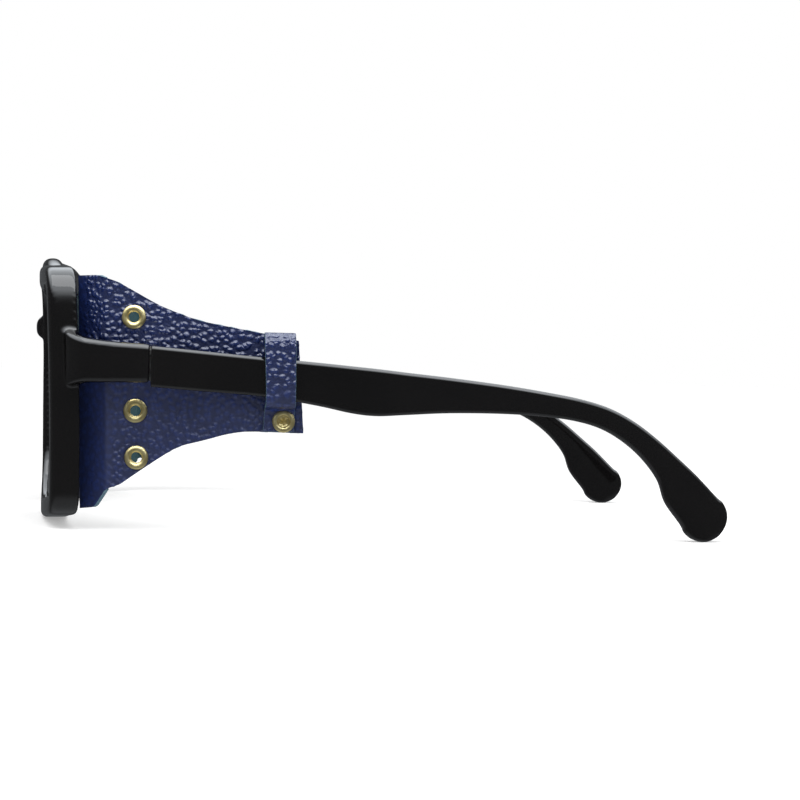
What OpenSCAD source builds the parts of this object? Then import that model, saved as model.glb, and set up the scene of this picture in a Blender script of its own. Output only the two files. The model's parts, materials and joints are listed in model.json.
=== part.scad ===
// Glacier glasses: a one-piece front with two wide rims, folding temples,
// dark lenses and leather side shields held by a riveted strap.
// +Z is up, the front looks along -Y and the wearer's left side is +X.
// The origin is under the middle of the box that the open glasses fill,
// on the surface that the rims and the temple tips stand on.

/* [Front] */
// Outside distance between the two hinge end pieces
front_w = 145; // [141:1:149]
// Radius of each rim's front face
face_r = 300; // [240:10:400]
// Angle that each rim's front face turns back towards its temple
face_wrap = 7; // [6:0.1:8]
// Thickness of the rims from front to back
rim_t = 6.6; // [6.2:0.1:6.8]
// Width of the rim's wall around the lens
rim_w = 4.6; // [4:0.1:5.2]
// Forward lean of the rims above the table
rake = 1.9; // [1:0.1:3]

/* [Lenses] */
// Thickness of a lens
lens_t = 2; // [1.6:0.1:2.4]
// How far a lens reaches into the rim's groove
lens_grip = 0.8; // [0.5:0.1:1.2]

/* [Temples] */
// Distance from the hinge joint back to the temple's end
temple_reach = 134.8; // [130:0.2:140]
// Thickness of a temple
temple_t = 4.2; // [3.8:0.1:4.4]
// How far the temple's end curves in towards the head
temple_tuck = 10.5; // [8:0.5:12]
// Radius of the round end of the temple
tip_r = 5.7; // [5.2:0.1:6]

/* [Hinges] */
// Radius of the hinge barrels
barrel_r = 1.7; // [1.6:0.05:1.75]
// Height of the five barrels together
barrel_h = 7; // [6:0.2:7.6]
// Radius of the hinge screw
screw_r = 0.7; // [0.6:0.05:0.8]

/* [Side shields] */
// Thickness of the leather
leather_t = 1.4; // [1.2:0.1:1.6]
// Width of the strap along the temple
strap_w = 7; // [6:0.5:8]
// Outside radius of a vent eyelet's collar
eyelet_r = 2.75; // [2.4:0.05:2.9]
// Radius of the open hole through a vent eyelet
vent_r = 1.25; // [1.1:0.05:1.35]

/* [Hidden] */

$fn = 64;

// Everything is drawn with the hinge joint at Y = 0, then moved back by joint_y.
front_reach = 32.8;
joint_y = (front_reach - temple_reach) / 2;
outer_x = front_w / 2;
joint_gap = 0.4;
slack = 0.05;

// Each rim's front face is part of an upright cylinder.
rim_x = 36;
rim_front_y = -27.8;
face_x = rim_x - face_r * sin(face_wrap);
face_y = rim_front_y + face_r * cos(face_wrap);
rake_y = -25;
rake_z = 31;
stand_lift = 0.057;

// The rim's outline as corners [x, z, radius], counter-clockwise.
RIM = [[65.4, 3.2, 6.5], [68.4, 28, 100], [62.8, 59.4, 9], [38, 61.2, 160], [8.5, 59.8, 11],
    [3.6, 42, 24], [11, 8, 17], [24, 0, 16], [34, 0.1, 60]];
BRIDGE = [[-8.4, 43.9, 1], [8.4, 43.9, 1], [8.4, 49.4, 1], [-8.4, 49.4, 1]];
BROW_BAR = [[29, 58, 0.5], [20, 64, 7], [-20, 64, 7], [-29, 58, 0.5]];
bridge_r = 40;
bridge_front_y = -32.2;
bridge_t = 5.2;
brow_r = 120;
brow_front_y = -30.2;
brow_t = 4.9;

// Nose pads: each lies against the rear of its rim on a plane through pad_back.
PAD = [[-7, -2.6, 2.4], [7, -2.6, 2.4], [7, 3.4, 2.4], [-7, 3.4, 2.4]];
pad_x = 7;
pad_z = 27;
pad_t = 3;
pad_bow = 15.8;
pad_back = face_y - sqrt(pow(face_r, 2) - pow(pad_x - face_x, 2)) + rim_t + slack;
pad_slope = asin((pad_x - face_x) / face_r);

// The end piece that runs back from each rim to the joint.
LUG_SIDE = [[-joint_gap / 2, 33.8, 0.5], [-joint_gap / 2, 42.5, 0.5], [-13.7, 43.1, 20],
    [-17.3, 44, 4], [-22.5, 48.5, 0], [-22.5, 28.5, 0], [-17.3, 32.8, 4], [-13.3, 33.6, 20]];

// Hinge: the screw stands upright, just inside the temple's inner face.
hinge_x = outer_x - temple_t - barrel_r - 0.2;
hinge_z = 37.7;
knuckles = 5;
knuckle_gap = 0.06;
knuckle_h = (barrel_h - knuckle_gap * (knuckles - 1)) / knuckles;
bore_slack = 0.04;
leaf_x0 = hinge_x + 1.4;
leaf_x1 = hinge_x + 2.6;
leaf_l = 8;
web_y = 1.5;
temple_in = outer_x - temple_t - hinge_x;
leaf_z0 = hinge_z - 2.8;
leaf_z1 = hinge_z + 2.8;

// The temple's side view as corners [y, z, radius].
TEMPLE_LOW = [[joint_gap / 2, 32.9, 0], [26, 31.4, 60], [51.5, 27.4, 9], [72, 28.9, 60],
    [101.3, 29.3, 22], [119, 14.4, 8], [120.2, 7.4, 9]];
TEMPLE_TOP = [[107.3, 32.4, 42], [joint_gap / 2, 42.1, 0]];
tip_y = temple_reach - tip_r;
TIP_ARC = [235:6:409];

// Shield outlines as corners [y, z, radius].
SHIELD_TOP = [[40, 43, 0], [26, 45.5, 30], [10, 48.2, 30], [2, 50.6, 25], [-7.6, 56, 8],
    [-12.5, 57.9, 3], [-26, 62.5, 0]];
SHIELD_LOW = [[-26, 3, 0], [-13.2, 4.6, 1.5], [-10.4, 8.8, 2], [-7, 9.9, 4], [6.5, 19.2, 14],
    [20, 23.4, 25], [40, 23.2, 0]];
front_end_y = 0.6;
rear_start_y = 5.2;
shield_x = hinge_x - 2;
crease_y = -9.4;

// Vent eyelets as [y, z], and the strap with its rivet.
VENTS = [[-4.3, 48.6], [-3.4, 27.3], [-2.9, 16.7]];
collar_t = 0.7;
barrel_wall = 0.4;
strap_y = 25.6;
strap_t = 1.2;
strap_top_z = 45.8;
strap_low_z = 23.4;
under_z = 29.9;
rivet_y = 30.2;
rivet_z = 25.9;
rivet_r = 2.6;
panel_rear_x = 66;

// Unit vector of v
function unit(v) = v / norm(v);

// Points of a fillet of radius r in the corner b between a and c
function corner_arc(a, b, c, r) =
    r <= 0 ? [b] :
    let (u = unit(a - b), v = unit(c - b), half = acos(u * v) / 2, mid = b + unit(u + v) * r / sin(half),
        p = b + u * r / tan(half) - mid, turn = 180 - 2 * half, way = sign(cross(b - a, c - b)),
        steps = max(2, ceil(turn / 7)))
    [for (i = [0:steps]) let (t = way * turn * i / steps)
        mid + [p.x * cos(t) - p.y * sin(t), p.x * sin(t) + p.y * cos(t)]];

// Closed outline through corners [x, y, radius], each rounded by its radius
function outline(q) = let (n = len(q)) [for (i = [0:n - 1])
    let (a = q[(i + n - 1) % n], b = q[i], c = q[(i + 1) % n])
    each corner_arc([a.x, a.y], [b.x, b.y], [c.x, c.y], b.z)];

// Open line of corners, rounded in the same way, with its two ends kept
function line(q) = let (n = len(q)) [for (i = [0:n - 1])
    each (i == 0 || i == n - 1) ? [[q[i].x, q[i].y]] :
        corner_arc([q[i - 1].x, q[i - 1].y], [q[i].x, q[i].y], [q[i + 1].x, q[i + 1].y], q[i].z)];

// Convex counter-clockwise corners moved inwards by d
function inset(q, d) = let (n = len(q)) [for (i = [0:n - 1])
    let (a = q[(i + n - 1) % n], b = q[i], c = q[(i + 1) % n],
        e = unit([b.x - a.x, b.y - a.y]), f = unit([c.x - b.x, c.y - b.y]),
        m = [-e.y, e.x], k = [-f.y, f.x], s = d / (1 + m * k))
    [b.x + (m.x + k.x) * s, b.y + (m.y + k.y) * s, max(1, b.z - d)]];

// How far the temple's outer face has curved in at the distance y behind the joint
function tuck(y) = temple_tuck * pow(max(0, y) / temple_reach, 2);

// Solid between x0 and x1 with the side view pts
module side_solid(pts, x0, x1) {
    translate([x0, 0, 0]) rotate([90, 0, 90]) linear_extrude(x1 - x0) polygon(pts);
}

// Solid between y0 and y1 with the front view pts
module front_solid(pts, y0, y1) {
    translate([0, y1, 0]) rotate([90, 0, 0]) linear_extrude(y1 - y0) polygon(pts);
}

// Upright solid with the plan pts
module plan_solid(pts, z0, z1) {
    translate([0, 0, z0]) linear_extrude(z1 - z0) polygon(pts);
}

// Upright wall between two cylinders about the same axis
module curved_wall(x, y, r, t) {
    translate([x, y, -5]) difference() {
        cylinder(h = 80, r = r, $fn = 360);
        translate([0, 0, -1]) cylinder(h = 82, r = r - t, $fn = 360);
    }
}

// Leans a piece of the front with the rims
module raked() {
    translate([0, rake_y, rake_z + stand_lift]) rotate([rake, 0, 0])
        translate([0, -rake_y, -rake_z]) children();
}

// Puts a piece drawn for the left side on its own side, in the part's frame
module placed(side) {
    translate([0, joint_y, 0]) mirror([side == "right" ? 1 : 0, 0, 0]) children();
}

// A piece of one rim's curved wall: offset and thickness are measured back from the front face
module rim_slice(corners, start, t) {
    intersection() {
        front_solid(outline(corners), -45, -5);
        curved_wall(face_x, face_y, face_r - start, t);
    }
}

module lug() {
    intersection() {
        side_solid(outline(LUG_SIDE), 55, outer_x);
        plan_solid(line([[61, -18.6, 0], [66.2, -15.5, 6], [outer_x - temple_t, -9, 8],
            [outer_x - temple_t, -joint_gap / 2, 0], [outer_x, -joint_gap / 2, 0.5], [outer_x, -11, 12],
            [66.4, -22.2, 0], [61, -22.2, 0]]), 25, 52);
    }
}

module hinge_pocket(y0) {
    translate([leaf_x0 - 1, y0, leaf_z0]) cube([leaf_x1 - leaf_x0 + 1, leaf_l, leaf_z1 - leaf_z0]);
}

module front_frame() {
    color("#141416") difference() {
        union() {
            raked() {
                for (side = [0, 1]) mirror([side, 0, 0]) rim_slice(RIM, 0, rim_t);
                intersection() {
                    front_solid(outline(BRIDGE), -45, -20);
                    curved_wall(0, bridge_front_y + bridge_r, bridge_r, bridge_t);
                }
                intersection() {
                    front_solid(outline(BROW_BAR), -45, -15);
                    curved_wall(0, brow_front_y + brow_r, brow_r, brow_t);
                }
            }
            for (side = [0, 1]) mirror([side, 0, 0]) lug();
        }
        for (side = [0, 1]) mirror([side, 0, 0]) {
            raked() {
                front_solid(outline(inset(RIM, rim_w)), -50, -5);
                rim_slice(inset(RIM, rim_w - lens_grip - slack), (rim_t - lens_t) / 2 - slack,
                    lens_t + 2 * slack);
            }
            hinge_pocket(-leaf_l - web_y);
        }
    }
}

module lens(side) {
    color("#23201f") placed(side) raked()
        rim_slice(inset(RIM, rim_w - lens_grip), (rim_t - lens_t) / 2, lens_t);
}

// A pad is a shallow rounded slab on the rim's nose side, turned to the nose and cut off flat at the rim
module nose_pad(side) {
    color("#1b1b1d") placed(side) raked() difference() {
        translate([pad_x - 1.4, pad_back + 1.3, pad_z]) rotate([0, -12, 24]) rotate([0, 90, 0])
            intersection() {
                linear_extrude(pad_t) polygon(outline(PAD));
                translate([0, 0, pad_bow]) sphere(r = pad_bow, $fn = 96);
            }
        translate([pad_x, pad_back, pad_z]) rotate([0, 0, pad_slope]) translate([-20, -20, -20])
            cube([40, 20, 40]);
    }
}

// Barrels numbered from the bottom, with the screw's bore through them
module knuckle(i, r) {
    z = hinge_z - barrel_h / 2 + i * (knuckle_h + knuckle_gap);
    translate([hinge_x, 0, z]) difference() {
        union() {
            cylinder(h = knuckle_h, r = barrel_r);
            children();
        }
        translate([0, 0, -1]) cylinder(h = knuckle_h + 2, r = r);
    }
}

// Flat leaf sunk in the plastic, joined to its barrels by short webs; way is -1 ahead of the joint
module leaf(way, first, r) {
    for (i = [first:2:knuckles - 1]) knuckle(i, r)
        translate([0, way < 0 ? -web_y - 0.2 : 0, 0]) cube([temple_in - 0.1, web_y + 0.2, knuckle_h]);
    translate([leaf_x0, way < 0 ? -leaf_l - web_y : web_y, leaf_z0])
        cube([leaf_x1 - leaf_x0, leaf_l, leaf_z1 - leaf_z0]);
}

module front_leaf(side) {
    color("#b9bcc0") placed(side) leaf(-1, 0, screw_r + slack / 2);
}

module temple_leaf(side) {
    color("#b9bcc0") placed(side) leaf(1, 1, screw_r + bore_slack);
}

module hinge_screw(side) {
    top = hinge_z + barrel_h / 2;
    color("#c8cace") placed(side) translate([hinge_x, 0, 0]) difference() {
        union() {
            translate([0, 0, top - barrel_h + 0.2]) cylinder(h = barrel_h, r = screw_r);
            translate([0, 0, top]) cylinder(h = 0.8, r = 1.3);
        }
        translate([-0.15, -2, top + 0.4]) cube([0.3, 4, 1]);
    }
}

// Strip of the temple's plan between two depths in from its outer face
module temple_strip(d0, d1, y0, y1) {
    n = 24;
    ys = [for (i = [0:n]) y0 + (y1 - y0) * i / n];
    plan_solid(concat([for (y = ys) [outer_x - d0 - tuck(y), y]],
        [for (i = [n:-1:0]) [outer_x - d1 - tuck(ys[i]), ys[i]]]), -1, 50);
}

function temple_side() =
    let (tip = [for (a = TIP_ARC) [tip_y + tip_r * cos(a), tip_r + tip_r * sin(a)]], last = len(tip) - 1,
        low = line(concat(TEMPLE_LOW, [tip[0]])), top = line(concat([tip[last]], TEMPLE_TOP)))
    concat(low, [for (i = [1:last - 1]) tip[i]], top);

module temple_core_solid(grow) {
    intersection() {
        side_solid(line([[11 - grow, 38.6 + grow, 0], [100.2, 31.6 + grow, 30],
            [116 + grow, 21.9 + grow, 0], [114.9 + grow, 20.5 - grow, 0],
            [99.4, 29.9 - grow, 30], [11 - grow, 36.8 - grow, 0]]), 50, outer_x);
        temple_strip(temple_t / 2 - 0.6 - grow, temple_t / 2 + 0.6 + grow, 11 - grow, 118);
    }
}

module temple(side) {
    color("#141416") placed(side) difference() {
        intersection() {
            side_solid(temple_side(), 50, outer_x + 1);
            temple_strip(0, temple_t, 0, temple_reach);
        }
        hinge_pocket(web_y);
        temple_core_solid(slack);
    }
}

module temple_core(side) {
    color("#9fa2a6") placed(side) temple_core_solid(0);
}

function shield_side() = concat(line(SHIELD_LOW), line(SHIELD_TOP));

// The panel ahead of the joint, with a crease where it turns in behind the rim
module shield_front(side) {
    color("#2b3668") placed(side) difference() {
        intersection() {
            raked() plan_solid([[shield_x, front_end_y + 3], [shield_x - leather_t, front_end_y + 3],
                [shield_x - leather_t, crease_y], [58.3, -16.9], [59.6, -16.6],
                [shield_x, crease_y - 0.8]], -2, 66);
            side_solid(shield_side(), 50, outer_x);
            translate([50, -30, 0]) cube([20, 30 + front_end_y, 66]);
        }
        for (v = VENTS) translate([50, v.x, v.y]) rotate([0, 90, 0])
            cylinder(h = 20, r = vent_r + barrel_wall + slack);
    }
}

// The panel behind the joint, which leans out until it lies along the temple
module shield_rear(side) {
    color("#2b3668") placed(side) difference() {
        intersection() {
            plan_solid([[shield_x, rear_start_y], [panel_rear_x + strap_t, strap_y],
                [panel_rear_x + strap_t, 35], [panel_rear_x, 35], [panel_rear_x, strap_y],
                [shield_x - strap_t, rear_start_y]], 15, 52);
            side_solid(shield_side(), 50, outer_x);
        }
        translate([50, strap_y - 0.2, strap_top_z - strap_t - 0.3]) cube([30, 20, 10]);
        rivet_hole();
    }
}

// The stretch of leather between the two panels, which bends as the temple folds
module shield_flex(side) {
    color("#2b3668") placed(side) intersection() {
        plan_solid([[shield_x, front_end_y], [shield_x, rear_start_y], [shield_x - strap_t, rear_start_y],
            [shield_x - leather_t, front_end_y]], 5, 60);
        side_solid(shield_side(), 50, outer_x);
    }
}

module rivet_hole() {
    translate([50, rivet_y, rivet_z]) rotate([0, 90, 0]) cylinder(h = 40, r = vent_r + barrel_wall + slack);
}

// The strap saddles the panel's top edge and goes round the temple: one leg on each side
module strap(side) {
    leg_x = outer_x + 0.2;
    low_x = panel_rear_x + strap_t;
    in_x = panel_rear_x - strap_t;
    color("#36437a") placed(side) difference() {
        translate([0, strap_y + strap_w, 0]) rotate([90, 0, 0]) linear_extrude(strap_w)
            polygon(concat(line([[low_x + strap_t, strap_low_z, 0], [low_x + strap_t, under_z - strap_t, 0.2],
                [leg_x + strap_t, under_z - strap_t, 3], [leg_x + strap_t, strap_top_z, 3],
                [in_x, strap_top_z, 2], [in_x, strap_low_z, 0]]),
                line([[panel_rear_x, strap_low_z, 0], [panel_rear_x, strap_top_z - strap_t, 0],
                [leg_x, strap_top_z - strap_t, 1.8], [leg_x, under_z, 1.8], [low_x, under_z, 0.6],
                [low_x, strap_low_z, 0]])));
        rivet_hole();
    }
}

// Eyelet through the leather: a barrel and a rounded collar on the outside, drawn along +Z
module eyelet(collar, hole, grip) {
    mid = (collar + hole) / 2 + 0.1;
    half = (collar - hole - 0.2) / 2;
    rotate([0, 90, 0]) rotate_extrude() polygon(concat(
        [[hole, -grip], [hole + barrel_wall, -grip], [hole + barrel_wall, 0], [collar - 0.1, 0]],
        [for (a = [0:30:180]) [mid + half * cos(a), collar_t * (0.35 + 0.65 * sin(a))]],
        [[hole, 0]]));
}

module washer(collar, hole) {
    rotate([0, 90, 0]) difference() {
        cylinder(h = 0.5, r = collar);
        translate([0, 0, -1]) cylinder(h = 3, r = hole + barrel_wall + slack);
    }
}

module vent_eyelets(side) {
    color("#c9b268") placed(side) for (v = VENTS) translate([shield_x, v.x, v.y])
        eyelet(eyelet_r, vent_r, leather_t + 0.5);
}

module vent_washers(side) {
    color("#c9b268") placed(side) for (v = VENTS) translate([shield_x - leather_t - 0.5, v.x, v.y])
        washer(eyelet_r - 0.2, vent_r);
}

module strap_rivet(side) {
    color("#c9b268") placed(side) translate([panel_rear_x + 2 * strap_t, rivet_y, rivet_z])
        eyelet(rivet_r, vent_r, 3 * strap_t + 0.5);
}

module rivet_cap(side) {
    color("#c9b268") placed(side) translate([panel_rear_x - strap_t - 0.5, rivet_y, rivet_z])
        washer(rivet_r - 0.2, vent_r);
}

translate([0, joint_y, 0]) front_frame();
lens("left");  // lens_left
lens("right");  // lens_right
nose_pad("left");  // nose_pad_left
nose_pad("right");  // nose_pad_right
front_leaf("left");  // front_leaf_left
front_leaf("right");  // front_leaf_right
hinge_screw("left");  // hinge_screw_left
hinge_screw("right");  // hinge_screw_right
shield_front("left");  // shield_front_left
shield_front("right");  // shield_front_right
vent_eyelets("left");  // vent_eyelets_left
vent_eyelets("right");  // vent_eyelets_right
vent_washers("left");  // vent_washers_left
vent_washers("right");  // vent_washers_right
temple("left");  // temple_left
temple("right");  // temple_right
temple_core("left");  // temple_core_left
temple_core("right");  // temple_core_right
temple_leaf("left");  // temple_leaf_left
temple_leaf("right");  // temple_leaf_right
shield_rear("left");  // shield_rear_left
shield_rear("right");  // shield_rear_right
shield_flex("left");  // shield_flex_left
shield_flex("right");  // shield_flex_right
strap("left");  // strap_left
strap("right");  // strap_right
strap_rivet("left");  // strap_rivet_left
strap_rivet("right");  // strap_rivet_right
rivet_cap("left");  // rivet_cap_left
rivet_cap("right");  // rivet_cap_right
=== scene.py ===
"""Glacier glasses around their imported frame: black plastic, smoked lenses, leather shields and brass."""
import json
import logging
import math
from collections.abc import Callable, Sequence
from dataclasses import dataclass
from enum import Enum

import bmesh
import bpy
import numpy as np
from mathutils import Matrix, Vector


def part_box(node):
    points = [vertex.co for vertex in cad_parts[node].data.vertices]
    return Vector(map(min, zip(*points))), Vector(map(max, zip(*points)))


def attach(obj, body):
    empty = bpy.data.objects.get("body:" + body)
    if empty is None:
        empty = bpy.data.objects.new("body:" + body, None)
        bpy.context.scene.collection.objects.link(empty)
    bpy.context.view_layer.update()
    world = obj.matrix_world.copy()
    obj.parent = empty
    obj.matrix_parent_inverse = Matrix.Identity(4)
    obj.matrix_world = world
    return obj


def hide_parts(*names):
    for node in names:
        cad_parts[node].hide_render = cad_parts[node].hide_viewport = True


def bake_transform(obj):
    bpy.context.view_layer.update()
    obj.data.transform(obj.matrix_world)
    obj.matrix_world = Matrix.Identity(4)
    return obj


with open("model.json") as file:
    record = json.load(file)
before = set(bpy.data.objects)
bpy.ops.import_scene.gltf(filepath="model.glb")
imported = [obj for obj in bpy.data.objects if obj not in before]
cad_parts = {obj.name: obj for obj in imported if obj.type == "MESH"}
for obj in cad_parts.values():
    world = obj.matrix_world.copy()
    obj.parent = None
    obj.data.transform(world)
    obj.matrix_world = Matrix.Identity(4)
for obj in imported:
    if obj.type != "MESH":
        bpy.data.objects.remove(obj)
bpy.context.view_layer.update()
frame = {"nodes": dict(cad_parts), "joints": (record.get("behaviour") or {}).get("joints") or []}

LOG = logging.getLogger("glacier_glasses")

Point = tuple[float, float]
Corner = tuple[float, float, float]
Colour = tuple[float, float, float]
Place = tuple[float, float, float]

MM = 0.001
HINGE = Vector(frame["joints"][0]["pos_m"]) / MM
JOINT_Y = HINGE.y
OUTER_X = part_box("temple_left")[1].x / MM
RAKE = math.radians(1.9)
RAKE_Y = -25.0
RAKE_Z = 31.0
STAND_LIFT = 0.057


class Side(Enum):
    """The wearer's two sides; the value is the sign of X there."""

    LEFT = 1
    RIGHT = -1

    @property
    def word(self) -> str:
        """The side as a lower-case word, as node names end in."""
        return self.name.lower()

    @property
    def arm(self) -> str:
        """The name of the body that folds on this side."""
        return f"temple_arm_{self.word}"


class Slot(Enum):
    """Material slots of the record."""

    FRAME = "frame"
    LENS = "lens"
    LEATHER = "leather"
    BRASS = "brass"
    STEEL = "steel"


# ---------------------------------------------------------------- lines and sections


def fillet(a: Point, b: Point, c: Point, radius: float, step: float = 7.0) -> list[Point]:
    """Rounds the corner b between a and c.

    Args:
        a: Corner before.
        b: Corner that is rounded.
        c: Corner after.
        radius: Radius of the arc; 0 keeps the corner sharp.
        step: Turn between two points of the arc, in degrees.

    Returns:
        The arc's points, from the side of a to the side of c.
    """
    if radius <= 0:
        return [b]
    back, ahead = Vector(a) - Vector(b), Vector(c) - Vector(b)
    back.normalize()
    ahead.normalize()
    half = math.acos(max(-1.0, min(1.0, back.dot(ahead)))) / 2
    middle = Vector(b) + (back + ahead).normalized() * (radius / math.sin(half))
    start = Vector(b) + back * (radius / math.tan(half)) - middle
    turn = math.pi - 2 * half
    way = 1 if back.x * ahead.y - back.y * ahead.x < 0 else -1
    steps = max(2, math.ceil(math.degrees(turn) / step))
    arc = []
    for i in range(steps + 1):
        t = way * turn * i / steps
        arc.append((middle.x + start.x * math.cos(t) - start.y * math.sin(t),
                    middle.y + start.x * math.sin(t) + start.y * math.cos(t)))
    return arc


def rounded(corners: Sequence[Corner], closed: bool = True, step: float = 7.0) -> list[Point]:
    """Draws a line through corners, each rounded by its own radius.

    Args:
        corners: Corners as (x, y, radius).
        closed: Whether the line returns to its start; an open line keeps its two ends.
        step: Turn between two points of an arc, in degrees.

    Returns:
        The line's points.
    """
    count = len(corners)
    points: list[Point] = []
    for i, (x, y, radius) in enumerate(corners):
        if not closed and i in (0, count - 1):
            points.append((x, y))
            continue
        before, after = corners[i - 1], corners[(i + 1) % count]
        points += fillet(before[:2], (x, y), after[:2], radius, step)
    return points


class Track:
    """A drawn line that is walked by its length."""

    def __init__(self, points: Sequence[Point], closed: bool = False) -> None:
        """Measures the line through points, which may be closed."""
        self.points = np.array(list(points) + ([points[0]] if closed else []), float)
        steps = np.linalg.norm(np.diff(self.points, axis=0), axis=1)
        self.marks = np.concatenate([[0.0], np.cumsum(steps)])
        self.length = float(self.marks[-1])

    def at(self, along: np.ndarray) -> np.ndarray:
        """Points at the distances along the line, as rows."""
        return np.stack([np.interp(along, self.marks, self.points[:, k])
                         for k in range(self.points.shape[1])], axis=-1)


def through(stations: Sequence[Sequence[float]], count: int) -> np.ndarray:
    """Draws a smooth curve through stations of any size (Catmull-Rom).

    Args:
        stations: Rows of numbers that the curve passes through.
        count: How many rows to return, evenly spread over the stations.

    Returns:
        The curve's rows.
    """
    rows = np.array(stations, float)
    rows = np.concatenate([[2 * rows[0] - rows[1]], rows, [2 * rows[-1] - rows[-2]]])
    spans = len(rows) - 3
    out = []
    for t in np.linspace(0, spans, count):
        i = min(int(t), spans - 1)
        u = t - i
        a, b, c, d = rows[i:i + 4]
        out.append(0.5 * (2 * b + (c - a) * u + (2 * a - 5 * b + 4 * c - d) * u * u
                          + (3 * b - a - 3 * c + d) * u ** 3))
    return np.array(out)


def bar_section(width: float, height: float, radius: float) -> np.ndarray:
    """Rounded rectangle about the origin, with the same number of points at any size."""
    w, h = width / 2, height / 2
    r = min(radius, 0.92 * w, 0.92 * h)
    return np.array(rounded([(w, -h, r), (w, h, r), (-w, h, r), (-w, -h, r)], step=15.0))


def smooth_step(low: float, high: float, values: np.ndarray) -> np.ndarray:
    """0 below low, 1 above high and a soft rise between."""
    t = np.clip((values - low) / (high - low), 0, 1)
    return t * t * (3 - 2 * t)


def leaned(points: np.ndarray) -> np.ndarray:
    """Leans points of the front with the rims, forward at the top."""
    out = np.array(points, float)
    y, z = out[:, 1] - RAKE_Y, out[:, 2] - RAKE_Z
    out[:, 1] = RAKE_Y + y * math.cos(RAKE) - z * math.sin(RAKE)
    out[:, 2] = RAKE_Z + STAND_LIFT + y * math.sin(RAKE) + z * math.cos(RAKE)
    return out


def columns(*parts: np.ndarray | float) -> np.ndarray:
    """Puts coordinates side by side as rows; a single number serves every row."""
    return np.stack(np.broadcast_arrays(*parts), axis=-1)


# ---------------------------------------------------------------- the modelling bench


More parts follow.
